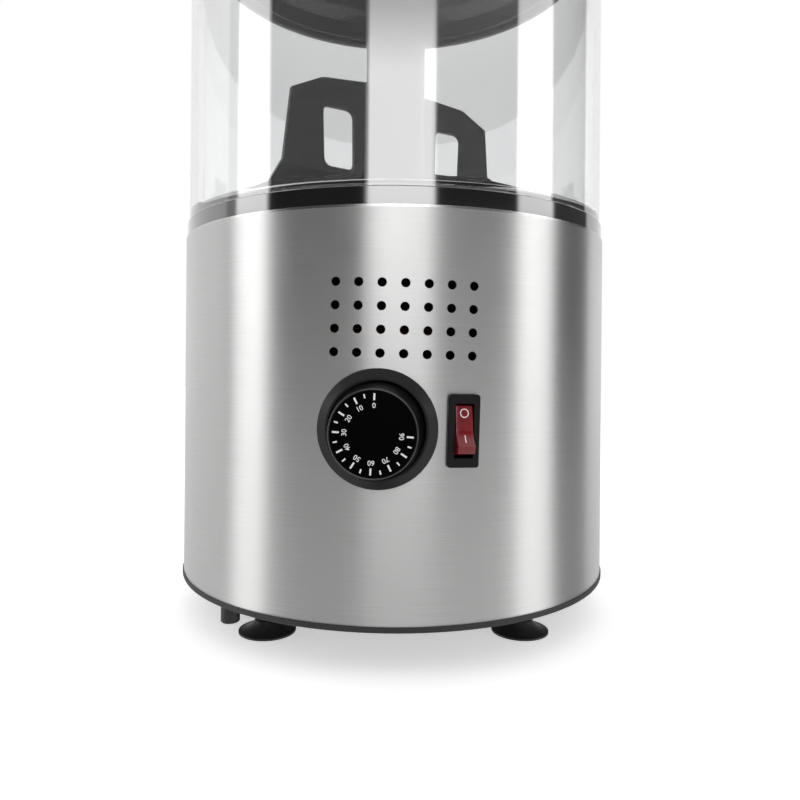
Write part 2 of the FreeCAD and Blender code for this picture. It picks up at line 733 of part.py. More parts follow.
def tap_piston():
    """Valve piston with its stem and the spool that the lever's fork lifts."""
    y = TAP_AXIS_Y
    groove = LEVER_TIP_R + 0.5
    piston = turned([
        (0, TAP_SEAT_Z + 1.3),
        (TAP_BORE - PART_GAP, TAP_SEAT_Z + 1.3),
        (TAP_BORE - PART_GAP, PISTON_RING_Z - 1.25),
        (TAP_BORE - 2.2, PISTON_RING_Z - 1.25),
        (TAP_BORE - 2.2, PISTON_RING_Z + 1.25),
        (TAP_BORE - PART_GAP, PISTON_RING_Z + 1.25),
        (TAP_BORE - PART_GAP, PISTON_TOP_Z),
        (STEM_R, PISTON_TOP_Z),
        (STEM_R, GROOVE_Z - groove - 2),
        (SPOOL_R, GROOVE_Z - groove - 2),
        (SPOOL_R, GROOVE_Z - groove),
        (STEM_R, GROOVE_Z - groove),
        (STEM_R, GROOVE_Z + groove),
        (SPOOL_R, GROOVE_Z + groove),
        (SPOOL_R, GROOVE_Z + groove + 2.5),
        (0, GROOVE_Z + groove + 4),
    ])
    piston.translate(V(0, y, 0))
    return piston


def piston_ring():
    ring = tube(TAP_BORE - 0.05, TAP_BORE - 2.15, PISTON_RING_Z - 1.1, PISTON_RING_Z + 1.1,
                0, TAP_AXIS_Y)
    return ring


def seat_washer():
    washer = cylinder(TAP_BORE - PART_GAP, TAP_SEAT_Z + 0.05, TAP_SEAT_Z + 1.3, 0, TAP_AXIS_Y)
    return washer


def tap_spring():
    """Spring round the stem, drawn as the sleeve that its coils fill."""
    return tube(8.0, 5.4, PISTON_TOP_Z, TAP_TOP_Z - 4.1, 0, TAP_AXIS_Y)


def lever_pin():
    y, z = lever_axis()
    end = EAR_X + EAR_T + 0.1
    pin = bar(LEVER_PIN_R, V(-end, y, z), V(end, y, z))
    for side in (-1, 1):
        head = bar(LEVER_PIN_R + 1.2, V(side * end, y, z), V(side * (end + 1.5), y, z))
        pin = pin.fuse(head)
    return pin


def tap_lever():
    """Lever on its pin: forked arm behind, pressed handle in front."""
    y, z = lever_axis()
    half = EAR_X - 0.4
    arm_t = 2.8
    middle = half - arm_t / 2
    hub = bar(6, V(-half, y, z), V(half, y, z))
    arm_parts = []
    for side in (-1, 1):
        tip = V(side * middle, TAP_AXIS_Y, GROOVE_Z)
        start = V(side * middle, y, z)
        run = tip.sub(start)
        arm = prism([(0, -2.5), (run.Length, -LEVER_TIP_R + 0.4),
                     (run.Length, LEVER_TIP_R - 0.4), (0, 3.5)], arm_t)
        along = V(0, run.y, run.z).normalize()
        across = V(0, -along.z, along.y)
        place = FreeCAD.Placement(V(start.x - arm_t / 2, start.y, start.z),
                                  FreeCAD.Rotation(along, across, V(1, 0, 0), "ZXY"))
        arm.transformShape(place.toMatrix(), True)
        arm_parts.append(arm)
        inner = V(side * (STEM_R + 0.6), tip.y, tip.z)
        outer = V(side * half, tip.y, tip.z)
        arm_parts.append(bar(LEVER_TIP_R, inner, outer))
    handle = rounded_plate(2 * 9.0, HANDLE_L, 8.5, -3, 3)
    handle.translate(V(0, -HANDLE_L / 2 + 4, 0))
    handle = round_edges(handle, 1.6, lambda box: box.ZMax - box.ZMin < 1e-3)
    handle.rotate(V(0, 0, 0), V(1, 0, 0), HANDLE_DROP_DEG)
    handle.translate(V(0, y, z))
    lever = hub.multiFuse(arm_parts + [handle])
    return lever.cut(bar(LEVER_PIN_R + RUNNING_GAP, V(-20, y, z), V(20, y, z)))


# Paddle

def wing_section(radius, low, sweep, bend, top, lean):
    """Bent strip across one radius: swept scraper below the bend, upright plate above it."""
    t = WING_T / 2
    line = [(sweep, low), (0, bend), (lean, top)]
    front = [V(radius, y - t, z) for y, z in line]
    back = [V(radius, y + t, z) for y, z in reversed(line)]
    return Part.makePolygon(front + back + front[:1])


def paddle_wing():
    """Wing with a full-height root, a steep shoulder and a scraper that runs out low."""
    low = WING_BOTTOM_Z
    bend = WING_BEND_Z
    shoulder = WING_R - 27
    wing = Part.makeLoft([
        wing_section(HUB_R - 2, low, 4, bend, bend + 56, 0),
        wing_section(shoulder - 18, low, 10, bend, bend + 53, -3),
        wing_section(shoulder, low, 14, bend, bend + 44, -4),
        wing_section(shoulder + 6, low, 15, bend - 1, bend + 4, -1),
        wing_section(WING_R, low, 20, low + 2, low + 4, 19),
    ], True, True)
    window = rounded_plate(WINDOW_W, WINDOW_H, 4.5, -30, 30)
    window.rotate(V(0, 0, 0), V(1, 0, 0), 90)
    window.translate(V(WINDOW_X, 0, WING_BEND_Z + 3.5 + WINDOW_H / 2))
    return wing.cut(window)


def paddle():
    """Hub tube over the tank's centre tube, with two wings."""
    inner = TANK_TUBE_R + HUB_GAP
    ceiling = TUBE_TOP_Z + PART_GAP
    hub = turned([
        (inner, WING_BOTTOM_Z),
        (HUB_R + 1.5, WING_BOTTOM_Z),
        (HUB_R, WING_BOTTOM_Z + 8),
        (HUB_R, ceiling + 4),
        (0, ceiling + 4),
        (0, ceiling),
        (inner, ceiling),
    ])
    wing = paddle_wing().cut(cylinder(inner, WING_BOTTOM_Z - 1, ceiling))
    wings = hub.multiFuse([wing, turn_z(wing, 180)])
    socket = SHAFT_SQUARE / 2 + PART_GAP
    wings = wings.cut(block(-socket, socket, -socket, socket, ceiling - 1, ceiling + 6))
    return turn_z(wings, PADDLE_REST_DEG)


def paddle_cap():
    """Domed cap over the driven end of the shaft."""
    z = TUBE_TOP_Z + PART_GAP + 4
    top = TUBE_TOP_Z + SQUARE_H + 3
    r = HUB_R
    return turned([
        (8, z), (r, z), (r, z + 4), (3, top + 2, r * 0.72, top - 0.4), (0, top + 2),
        (0, top - 1), (8, top - 1),
    ])


# Lid

def lid():
    """Domed cover with a skirt outside the tank's rim and a locating ring inside."""
    inner = TANK_R + 0.5
    outer = inner + LID_WALL
    under = TANK_Z1 + PART_GAP
    plug = CLEAR_R - 0.6
    w = LID_WALL
    cover = turned([
        (outer, under - LID_SKIRT_H),
        (outer, under + 4),
        (outer - 9, under + 14, outer - 2.4, under + 10.4),
        (CROWN_R, LID_TOP_Z, 78, LID_TOP_Z - 6),
        (0, LID_TOP_Z),
        (0, LID_TOP_Z - w),
        (CROWN_R, LID_TOP_Z - w),
        (plug - 8, under + 11, 76, LID_TOP_Z - 9),
        (plug - w, under + 3),
        (plug - w, under - 8),
        (plug, under - 8),
        (plug, under),
        (inner, under),
        (inner, under - LID_SKIRT_H),
    ])
    holes = [cylinder(2.3, LID_TOP_Z - 10, LID_TOP_Z + 1)]
    for i in range(6):
        angle = math.radians(60 * i)
        x = 30 * math.cos(angle)
        y = 30 * math.sin(angle)
        holes.append(cylinder(2.5, LID_TOP_Z - 14, LID_TOP_Z + 1, x, y))
    return cover.cut(holes)


def lid_knob():
    z = LID_TOP_Z
    return turned([
        (0, z), (9, z), (7, z + 8, 7.2, z + 4), (18, z + 14, 11, z + 11.6),
        (18, z + 20, 20, z + 17), (4, z + 24, 11.5, z + 23), (0, z + 24),
    ]).cut(cylinder(1.6, z - 1, z + 14))


def lid_screw():
    z = LID_TOP_Z - LID_WALL
    head = cylinder(4, z - 2.6, z)
    return head.fuse(cylinder(1.55, z - 0.1, z + 15))


# Drip tray

def tray_outline(radius, gap, z0, z1):
    """Disc with a hollow back that follows the drum at a named distance."""
    disc = cylinder(radius, z0, z1, 0, TRAY_CENTRE_Y)
    return disc.cut(cylinder(BODY_R + gap, z0 - 1, z1 + 1))


def drip_tray():
    """Shallow basin hung on the drum by two hooks; a ledge inside carries the grid."""
    top = TRAY_Z + TRAY_H
    tray = tray_outline(TRAY_R, TRAY_GAP, TRAY_Z, top)
    well = tray_outline(TRAY_R - TRAY_WALL, TRAY_GAP + TRAY_WALL, GRID_Z, top + 1)
    basin = tray_outline(TRAY_R - TRAY_WALL - 3, TRAY_GAP + 3 + TRAY_WALL, TRAY_Z + TRAY_WALL, top)
    tray = tray.cut([well, basin])
    for side in (-1, 1):
        x0 = side * HOOK_X - HOOK_W / 2
        x1 = side * HOOK_X + HOOK_W / 2
        wall_y = -math.sqrt((BODY_R - JACKET_WALL) ** 2 - HOOK_X ** 2)
        tongue = block(x0, x1, wall_y - 13, wall_y + 5.5, HOOK_TOP_Z - HOOK_T, HOOK_TOP_Z)
        lip = block(x0, x1, wall_y + 2.2, wall_y + 5.5, HOOK_TOP_Z - HOOK_LIP_DROP, HOOK_TOP_Z)
        hook = tongue.fuse(lip)
        tray = tray.fuse(hook.cut(tray_outline(TRAY_R - TRAY_WALL, TRAY_GAP + TRAY_WALL, 0, 100)))
    return tray


def drip_grid():
    """Slotted plate that lies on the tray's ledge."""
    edge = TRAY_R - TRAY_WALL - 0.5
    plate = tray_outline(edge, 3.5 + TRAY_WALL, GRID_Z, GRID_Z + GRID_T)
    inner = tray_outline(edge - 7, 14 + TRAY_WALL, GRID_Z - 1, GRID_Z + GRID_T + 1)
    slots = []
    for i in range(-6, 7):
        x = 10.0 * i
        slots.append(block(x - 3, x + 3, TRAY_CENTRE_Y - TRAY_R, TRAY_CENTRE_Y + TRAY_R,
                           GRID_Z - 1, GRID_Z + GRID_T + 1).common(inner))
    return plate.cut(slots)


def build():
    pieces = {
        "body_shell": body_shell(),
        "base_pan": base_pan(),
        "cord_gland": cord_gland(),
        "gland_nut": gland_nut(),
        "dial_bezel": dial_bezel(),
        "dial_knob": dial_knob(),
        "dial_spindle": dial_spindle(),
        "thermostat_body": thermostat_body(),
        "thermostat_nut": thermostat_nut(),
        "switch_frame": switch_frame(),
        "rocker": rocker(),
        "bath_pan": bath_pan(),
        "heater_ring": heater_ring(),
        "overheat_cutout": overheat_cutout(),
        "thermostat_bulb": thermostat_bulb(),
        "capillary": capillary(),
        "bath_bush": bath_bush(),
        "motor_plate": motor_plate(),
        "motor": motor(),
        "gearbox": gearbox(),
        "drive_shaft": drive_shaft(),
        "terminal_block": terminal_block(),
        "tank_gasket": tank_gasket(),
        "tank_bowl": tank_bowl(),
        "tap_gasket": tap_gasket(),
        "tap_body": tap_body(),
        "tap_nut": tap_nut(),
        "tap_cap": tap_cap(),
        "tap_piston": tap_piston(),
        "piston_ring": piston_ring(),
        "seat_washer": seat_washer(),
        "tap_spring": tap_spring(),
        "lever_pin": lever_pin(),
        "tap_lever": tap_lever(),
        "paddle": paddle(),
        "paddle_cap": paddle_cap(),
        "lid": lid(),
        "lid_knob": lid_knob(),
        "lid_screw": lid_screw(),
        "drip_tray": drip_tray(),
        "drip_grid": drip_grid(),
    }
    foot = suction_foot()
    stud = foot_stud()
    for name, (x, y) in zip(FOOT_NAMES, foot_places()):
        placed_foot = foot.copy()
        placed_foot.translate(V(x, y, 0))
        pieces["foot_" + name] = placed_foot
        placed_stud = stud.copy()
        placed_stud.translate(V(x, y, 0))
        pieces["stud_" + name] = placed_stud
    return pieces


os.makedirs("parts", exist_ok=True)
for node, shape in build().items():
    if not shape.isValid():
        print("not valid:", node)
    if len(shape.Solids) != 1:
        print("solids:", node, len(shape.Solids))
    shape.exportStep("parts/" + node + ".step")
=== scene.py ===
import json
import math

import bmesh
import bpy
from mathutils import Matrix, Vector

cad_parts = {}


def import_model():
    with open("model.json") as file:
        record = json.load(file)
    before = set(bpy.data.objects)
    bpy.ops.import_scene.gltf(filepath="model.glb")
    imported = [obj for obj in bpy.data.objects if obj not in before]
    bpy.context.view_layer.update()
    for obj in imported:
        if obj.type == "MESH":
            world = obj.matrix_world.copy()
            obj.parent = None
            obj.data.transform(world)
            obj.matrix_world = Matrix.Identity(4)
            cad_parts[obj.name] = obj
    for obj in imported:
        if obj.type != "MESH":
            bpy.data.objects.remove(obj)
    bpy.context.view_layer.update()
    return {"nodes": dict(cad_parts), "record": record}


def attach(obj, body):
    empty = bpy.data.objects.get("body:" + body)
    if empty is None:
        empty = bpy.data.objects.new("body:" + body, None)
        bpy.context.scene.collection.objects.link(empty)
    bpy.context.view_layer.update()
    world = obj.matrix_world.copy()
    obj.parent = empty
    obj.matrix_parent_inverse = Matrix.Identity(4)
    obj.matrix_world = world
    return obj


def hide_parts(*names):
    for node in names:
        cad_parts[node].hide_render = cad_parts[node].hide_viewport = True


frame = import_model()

MM = 0.001

# Sizes shared with the CAD model, in millimetres
BODY_R = 118.0
JACKET_WALL = 0.8
JACKET_Z0 = 22.0
JACKET_Z1 = 199.6
PANEL_Z = 152.4
PANEL_OFFSET = 2.0
PANEL_TILT = 1.3
VENT_ROWS = 4
VENT_COLUMNS = 7
VENT_PITCH = 10.0
VENT_R = 2.0
DIAL_U = -10.0
CONTROLS_V = -47.0
SWITCH_U = 26.6
KNOB_H = 24.5
ROCKER_REST_DEG = 9.0
ROCKER_AXIS = -1.5
ROCKER_PIN_R = 1.3
ROCKER_W = 7.8
ROCKER_HALF = 10.5
BUSH_HOLE_R = 5.3
SWITCH_CUT_W = 12.2
SWITCH_CUT_H = 28.8
TRAY_SLOT_X = 30.0
TRAY_SLOT_HALF = 4.6
TRAY_SLOT_Y = (-123.0, -103.0)
TRAY_SLOT_Z = (39.7, 64.3)
TANK_OUTSIDE_R = 116.2
BATH_OUTSIDE_R = 104.5
BATH_RIM_UNDERSIDE_Z = 199.5

# Camera, found by fitting the vent grid and the drum's rims
CAMERA_DISTANCE = 408.0
CAMERA_HEIGHT = 131.1
CAMERA_TURN = 1.27
CAMERA_ROLL = 0.48
FOCAL_PX = 687.8
PICTURE_PX = 800
CENTRE_X_PX = 393.4
HORIZON_Y_PX = 368.6
SENSOR_MM = 36.0


# Node helpers

class Nodes:
    """Short way to build one material's node tree."""

    def __init__(self, name):
        self.material = bpy.data.materials.new(name)
        self.material.use_nodes = True
        self.tree = self.material.node_tree
        self.shader = self.tree.nodes["Principled BSDF"]

    def add(self, kind, **settings):
        node = self.tree.nodes.new(kind)
        for key, value in settings.items():
            setattr(node, key, value)
        return node

    def link(self, source, target):
        self.tree.links.new(source, target)

    def set(self, **values):
        for key, value in values.items():
            self.shader.inputs[key.replace("_", " ")].default_value = value

    def noise(self, scale, detail=3.0, stretch=(1, 1, 1)):
        """Noise in object space, in features per metre, with a stretch per axis."""
        place = self.add("ShaderNodeTexCoord")
        mapping = self.add("ShaderNodeMapping")
        mapping.inputs["Scale"].default_value = stretch
        noise = self.add("ShaderNodeTexNoise")
        noise.inputs["Scale"].default_value = scale
        noise.inputs["Detail"].default_value = detail
        self.link(place.outputs["Object"], mapping.inputs["Vector"])
        self.link(mapping.outputs["Vector"], noise.inputs["Vector"])
        return noise.outputs["Fac"]

    def drum_noise(self, around, along, detail=4.0):
        """Noise wrapped round the Z axis: features per metre round it and along it."""
        place = self.add("ShaderNodeTexCoord")
        split = self.add("ShaderNodeSeparateXYZ")
        self.link(place.outputs["Object"], split.inputs[0])
        angle = self.add("ShaderNodeMath", operation="ARCTAN2")
        self.link(split.outputs["X"], angle.inputs[0])
        self.link(split.outputs["Y"], angle.inputs[1])
        arc = self.add("ShaderNodeMath", operation="MULTIPLY")
        arc.inputs[1].default_value = BODY_R * MM * around
        self.link(angle.outputs[0], arc.inputs[0])
        rise = self.add("ShaderNodeMath", operation="MULTIPLY")
        rise.inputs[1].default_value = along
        self.link(split.outputs["Z"], rise.inputs[0])
        join = self.add("ShaderNodeCombineXYZ")
        self.link(arc.outputs[0], join.inputs["X"])
        self.link(rise.outputs[0], join.inputs["Z"])
        noise = self.add("ShaderNodeTexNoise")
        noise.inputs["Scale"].default_value = 1.0
        noise.inputs["Detail"].default_value = detail
        self.link(join.outputs[0], noise.inputs["Vector"])
        return noise.outputs["Fac"]

    def ramp(self, factor, stops):
        ramp = self.add("ShaderNodeValToRGB")
        while len(ramp.color_ramp.elements) < len(stops):
            ramp.color_ramp.elements.new(0.5)
        for element, (place, level) in zip(ramp.color_ramp.elements, stops):
            element.position = place
            colour = level if isinstance(level, tuple) else (level, level, level)
            element.color = (*colour, 1)
        self.link(factor, ramp.inputs[0])
        return ramp.outputs[0]

    def spread(self, factor, low, high):
        spread = self.add("ShaderNodeMapRange")
        spread.inputs["To Min"].default_value = low
        spread.inputs["To Max"].default_value = high
        self.link(factor, spread.inputs["Value"])
        return spread.outputs[0]

    def bump(self, factor, height_mm, strength=1.0):
        bump = self.add("ShaderNodeBump")
        bump.inputs["Strength"].default_value = strength
        bump.inputs["Distance"].default_value = height_mm * MM
        self.link(factor, bump.inputs["Height"])
        self.link(bump.outputs[0], self.shader.inputs["Normal"])


# Materials

def brushed_steel():
    """Drum sheet, brushed round the drum, so that highlights spread up and down."""
    m = Nodes("brushed_steel")
    m.set(Metallic=1.0, Anisotropic=0.8, Anisotropic_Rotation=0.25)
    lines = m.drum_noise(around=30, along=5200, detail=4)
    broad = m.drum_noise(around=70, along=40, detail=3)
    m.link(m.ramp(lines, [(0.3, (0.53, 0.528, 0.525)), (0.7, (0.6, 0.598, 0.595))]),
           m.shader.inputs["Base Color"])
    m.link(m.spread(broad, 0.3, 0.36), m.shader.inputs["Roughness"])
    tangent = m.add("ShaderNodeTangent", direction_type="RADIAL", axis="Z")
    m.link(tangent.outputs[0], m.shader.inputs["Tangent"])
    m.bump(lines, 0.003)
    return m.material


def plain_steel():
    m = Nodes("plain_steel")
    m.set(Metallic=1.0)
    grain = m.noise(420, stretch=(1, 1, 0.1))
    m.link(m.ramp(grain, [(0.3, 0.52), (0.7, 0.62)]), m.shader.inputs["Base Color"])
    m.link(m.spread(grain, 0.16, 0.28), m.shader.inputs["Roughness"])
    m.bump(grain, 0.003)
    return m.material


def bath_steel():
    """Bright inside, and painted near black and matt on the outside that faces the drum: painted shade, so
    that the inside of the drum shows dark through the vents.
    """
    m = Nodes("bath_steel")
    place = m.add("ShaderNodeTexCoord")
    split = m.add("ShaderNodeSeparateXYZ")
    m.link(place.outputs["Object"], split.inputs[0])
    flat = m.add("ShaderNodeCombineXYZ")
    m.link(split.outputs["X"], flat.inputs["X"])
    m.link(split.outputs["Y"], flat.inputs["Y"])
    radius = m.add("ShaderNodeVectorMath", operation="LENGTH")
    m.link(flat.outputs[0], radius.inputs[0])
    outside = m.add("ShaderNodeMath", operation="GREATER_THAN")
    outside.inputs[1].default_value = BATH_OUTSIDE_R * MM
    m.link(radius.outputs["Value"], outside.inputs[0])
    below_rim = m.add("ShaderNodeMath", operation="LESS_THAN")
    below_rim.inputs[1].default_value = BATH_RIM_UNDERSIDE_Z * MM
    m.link(split.outputs["Z"], below_rim.inputs[0])
    # Painted shade: the outer wall below the rim gets a near-black, matt, non-metal finish that stands in
    # for the shade inside the drum.
    painted_shade = m.add("ShaderNodeMath", operation="MULTIPLY")
    m.link(outside.outputs[0], painted_shade.inputs[0])
    m.link(below_rim.outputs[0], painted_shade.inputs[1])
    grain = m.noise(420)
    bright = m.ramp(grain, [(0.3, 0.52), (0.7, 0.62)])
    dark = m.ramp(grain, [(0.3, 0.006), (0.7, 0.012)])
    mix = m.add("ShaderNodeMix", data_type="RGBA")
    m.link(painted_shade.outputs[0], mix.inputs[0])
    m.link(bright, mix.inputs[6])
    m.link(dark, mix.inputs[7])
    m.link(mix.outputs[2], m.shader.inputs["Base Color"])
    metal = m.add("ShaderNodeMath", operation="SUBTRACT")
    metal.inputs[0].default_value = 1.0
    m.link(painted_shade.outputs[0], metal.inputs[1])
    m.link(metal.outputs[0], m.shader.inputs["Metallic"])
    rough = m.add("ShaderNodeMapRange")
    rough.inputs["To Min"].default_value = 0.22
    rough.inputs["To Max"].default_value = 0.9
    m.link(painted_shade.outputs[0], rough.inputs["Value"])
    m.link(rough.outputs[0], m.shader.inputs["Roughness"])
    return m.material


def zinc():
    m = Nodes("zinc")
    m.set(Metallic=1.0)
    grain = m.noise(900)
    m.link(m.ramp(grain, [(0.3, (0.55, 0.55, 0.57)), (0.7, (0.68, 0.68, 0.7))]),
           m.shader.inputs["Base Color"])
    m.link(m.spread(grain, 0.25, 0.4), m.shader.inputs["Roughness"])
    return m.material


def black_plastic(name, level, rough_low, rough_high, grain_mm, coat=0.0, coat_ior=1.5, shine=0.5):
    """Moulded black plastic with a faint grain and uneven gloss."""
    m = Nodes(name)
    m.set(Coat_Weight=coat, Coat_IOR=coat_ior, Coat_Roughness=0.08, Specular_IOR_Level=shine)
    grain = m.noise(1500, detail=2)
    cloud = m.noise(60, detail=3)
    m.link(m.ramp(cloud, [(0.3, level), (0.7, level * 1.3)]), m.shader.inputs["Base Color"])
    m.link(m.spread(cloud, rough_low, rough_high), m.shader.inputs["Roughness"])
    m.bump(grain, grain_mm)
    return m.material


def clear_plastic():
    """Clear tank wall, with a stronger mirror image on its outside."""
    m = Nodes("clear_plastic")
    m.set(IOR=1.58, Transmission_Weight=1.0, Specular_IOR_Level=1.0, Coat_IOR=2.4,
          Coat_Roughness=0.01)
    place = m.add("ShaderNodeTexCoord")
    flat = m.add("ShaderNodeVectorMath", operation="MULTIPLY")
    flat.inputs[1].default_value = (1, 1, 0)
    m.link(place.outputs["Object"], flat.inputs[0])
    radius = m.add("ShaderNodeVectorMath", operation="LENGTH")
    m.link(flat.outputs[0], radius.inputs[0])
    outside = m.add("ShaderNodeMath", operation="GREATER_THAN")
    outside.inputs[1].default_value = TANK_OUTSIDE_R * MM
    m.link(radius.outputs["Value"], outside.inputs[0])
    m.link(outside.outputs[0], m.shader.inputs["Coat Weight"])
    haze = m.noise(35, detail=2)
    m.link(m.ramp(haze, [(0.2, (0.955, 0.96, 0.965)), (0.8, (0.985, 0.988, 0.99))]),
           m.shader.inputs["Base Color"])
    m.link(m.spread(haze, 0.004, 0.02), m.shader.inputs["Roughness"])
    return m.material


def red_lens():
    m = Nodes("red_lens")
    m.set(Coat_Weight=0.8, Coat_Roughness=0.06, Specular_IOR_Level=0.25)
    cloud = m.noise(140, detail=2)
    m.link(m.ramp(cloud, [(0.3, (0.17, 0.004, 0.008)), (0.7, (0.24, 0.006, 0.012))]),
           m.shader.inputs["Base Color"])
    m.link(m.spread(cloud, 0.2, 0.32), m.shader.inputs["Roughness"])
    return m.material


def white_paint():
    m = Nodes("white_paint")
    grain = m.noise(2500, detail=2)
    m.link(m.ramp(grain, [(0.2, 0.78), (0.8, 0.9)]), m.shader.inputs["Base Color"])
    m.link(m.spread(grain, 0.45, 0.6), m.shader.inputs["Roughness"])
    return m.material


def white_plastic():
    m = Nodes("white_plastic")
    grain = m.noise(500, detail=3)
    m.link(m.ramp(grain, [(0.3, (0.74, 0.74, 0.72)), (0.7, (0.82, 0.82, 0.8))]),
           m.shader.inputs["Base Color"])
    m.link(m.spread(grain, 0.4, 0.55), m.shader.inputs["Roughness"])
    m.bump(grain, 0.01)
    return m.material


def tinted(name, low, high, rough, metallic=0.0):
    """Plain part with a mottled colour and gloss."""
    m = Nodes(name)
    m.set(Metallic=metallic)
    grain = m.noise(300, detail=4)
    m.link(m.ramp(grain, [(0.3, low), (0.7, high)]), m.shader.inputs["Base Color"])
    m.link(m.spread(grain, rough, rough + 0.15), m.shader.inputs["Roughness"])
    m.bump(grain, 0.01)
    return m.material


MATERIALS = {
    "brushed_steel": brushed_steel(),
    "plain_steel": plain_steel(),
    "zinc": zinc(),
    "black_gloss": black_plastic("black_gloss", 0.012, 0.12, 0.2, 0.002, coat=0.3),
    "black_matt": black_plastic("black_matt", 0.02, 0.45, 0.6, 0.01),
    "black_rubber": black_plastic("black_rubber", 0.022, 0.38, 0.55, 0.008),
    "white_plastic": white_plastic(),
    "clear_plastic": clear_plastic(),
    "red_lens": red_lens(),
    "silicone": tinted("silicone", (0.42, 0.12, 0.08), (0.5, 0.17, 0.12), 0.5),
    "cast_heater": tinted("cast_heater", (0.42, 0.42, 0.42), (0.52, 0.52, 0.52), 0.45, 1.0),
    "motor_paint": tinted("motor_paint", (0.05, 0.05, 0.055), (0.08, 0.08, 0.085), 0.4),
    "copper_tube": tinted("copper_tube", (0.6, 0.3, 0.18), (0.7, 0.38, 0.24), 0.3, 1.0),
    "spring_wire": tinted("spring_wire", (0.5, 0.5, 0.5), (0.6, 0.6, 0.6), 0.25, 1.0),
}
KNOB_BLACK = black_plastic("knob_black", 0.0008, 0.3, 0.4, 0.001, shine=0.02)
KNOB_EDGE = black_plastic("knob_edge", 0.002, 0.06, 0.1, 0.0, coat=1.0, shine=0.3)
BEZEL_BLACK = black_plastic("bezel_black", 0.008, 0.22, 0.3, 0.003, shine=0.2)
SWITCH_BLACK = black_plastic("switch_black", 0.006, 0.3, 0.4, 0.003, shine=0.2)
PADDLE_BLACK = black_plastic("paddle_black", 0.001, 0.14, 0.2, 0.001, shine=0.25)
SEAL_BLACK = black_plastic("seal_black", 0.002, 0.05, 0.09, 0.0, coat=1.0, coat_ior=2.5)
WHITE_PAINT = white_paint()

SLOT_OF = {part["node"]: part["material_slot"] for part in frame["record"]["subparts"]}


def finish_node(node, material):
    mesh = frame["nodes"][node].data
    mesh.materials.clear()
    mesh.materials.append(material)


for node_name in frame["nodes"]:
    finish_node(node_name, MATERIALS[SLOT_OF[node_name]])
finish_node("bath_pan", bath_steel())
finish_node("dial_knob", KNOB_BLACK)
finish_node("dial_bezel", BEZEL_BLACK)
finish_node("switch_frame", SWITCH_BLACK)
finish_node("tank_gasket", SEAL_BLACK)
for node_name in ("paddle", "paddle_cap"):
    finish_node(node_name, PADDLE_BLACK)


# Mesh helpers

def piece(name, bm, material, body, smooth_deg=32.0):
    """Turn a bmesh in millimetres into a piece in metres that rides on a body."""
    bmesh.ops.recalc_face_normals(bm, faces=bm.faces)
    mesh = bpy.data.meshes.new(name)
    bm.to_mesh(mesh)
    bm.free()
    mesh.transform(Matrix.Scale(MM, 4))
    mesh.shade_smooth()
    mesh.set_sharp_from_angle(angle=math.radians(smooth_deg))
    mesh.materials.append(material)
    shape = bpy.data.objects.new(name, mesh)
    bpy.context.scene.collection.objects.link(shape)
    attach(shape, body)
    return shape


def lathe(profile, segments):
    """Closed ring about Z whose section is the given (r, z) points."""
    bm = bmesh.new()
    rings = []
    for r, z in profile:
        ring = []
        for i in range(segments):
            angle = 2 * math.pi * i / segments
            ring.append(bm.verts.new((r * math.cos(angle), r * math.sin(angle), z)))
        rings.append(ring)
    for a, b in zip(rings, rings[1:] + rings[:1]):
        for i in range(segments):
            j = (i + 1) % segments
            bm.faces.new((a[i], a[j], b[j], b[i]))
    return bm


def circle_points(centre, radius, steps):
    points = []
    for i in range(steps):
        angle = 2 * math.pi * i / steps
        points.append((centre[0] + radius * math.cos(angle), centre[1] + radius * math.sin(angle)))
    return points


# Frame of the control panel: X to the right of someone facing it, Y up, Z outwards

def panel_matrix(u, v):
    tilt = math.radians(PANEL_TILT)
    arc = u * math.cos(tilt) + v * math.sin(tilt) + PANEL_OFFSET
    rise = -u * math.sin(tilt) + v * math.cos(tilt) + PANEL_Z
    angle = arc / BODY_R
    normal = Vector((-math.sin(angle), math.cos(angle), 0))
    right = Vector((-math.cos(angle), -math.sin(angle), 0))
    up = Vector((0, 0, 1))
    turn = Matrix((right, up, normal)).transposed().to_4x4()
    origin = Matrix.Translation((BODY_R * normal.x, BODY_R * normal.y, rise))
    return origin @ turn @ Matrix.Rotation(-tilt, 4, "Z")


def flat_box(bm, x0, x1, y0, y1, z0, z1, matrix=None):
    corners = []
    for x in (x0, x1):
        for y in (y0, y1):
            for z in (z0, z1):
                corners.append(bm.verts.new((x, y, z)))
    for face in ((0, 1, 3, 2), (4, 6, 7, 5), (0, 4, 5, 1), (2, 3, 7, 6), (0, 2, 6, 4), (1, 5, 7, 3)):
        bm.faces.new([corners[i] for i in face])
    if matrix is not None:
        bmesh.ops.transform(bm, matrix=matrix, verts=corners)


# Dial scale: long ticks and numbers at the tens, short ticks between

SCALE_START_DEG = -0.7
SCALE_STEP_DEG = 29.8
TICK_OUT = 15.9
TICK_LONG_IN = 13.2
TICK_SHORT_IN = 14.25
NUMBER_R = 11.1
NUMBER_H = 1.98
TYPE_PER_DIGIT_HEIGHT = 1.42
NUMBER_BOLDER = 0.02
LONG_TICK_HALF = 0.37
SHORT_TICK_HALF = 0.3
TICK_ROOT = 0.2
KNOB_EDGE_R = 17.4
KNOB_EDGE_DROP = 0.36
KNOB_EDGE_BEAD = 0.4
INK = 0.06
DIAL_INK = 0.02


def dial_ticks():
    bm = bmesh.new()
    dial = panel_matrix(DIAL_U, CONTROLS_V)
    for i in range(19):
        angle = math.radians(SCALE_START_DEG + SCALE_STEP_DEG * i / 2)
        turn = dial @ Matrix.Rotation(angle, 4, "Z")
        long_tick = i % 2 == 0
        inner = TICK_LONG_IN if long_tick else TICK_SHORT_IN
        half = LONG_TICK_HALF if long_tick else SHORT_TICK_HALF
        flat_box(bm, -half, half, inner, TICK_OUT, KNOB_H - TICK_ROOT, KNOB_H + DIAL_INK, turn)
    piece("dial_ticks", bm, WHITE_PAINT, "knob")


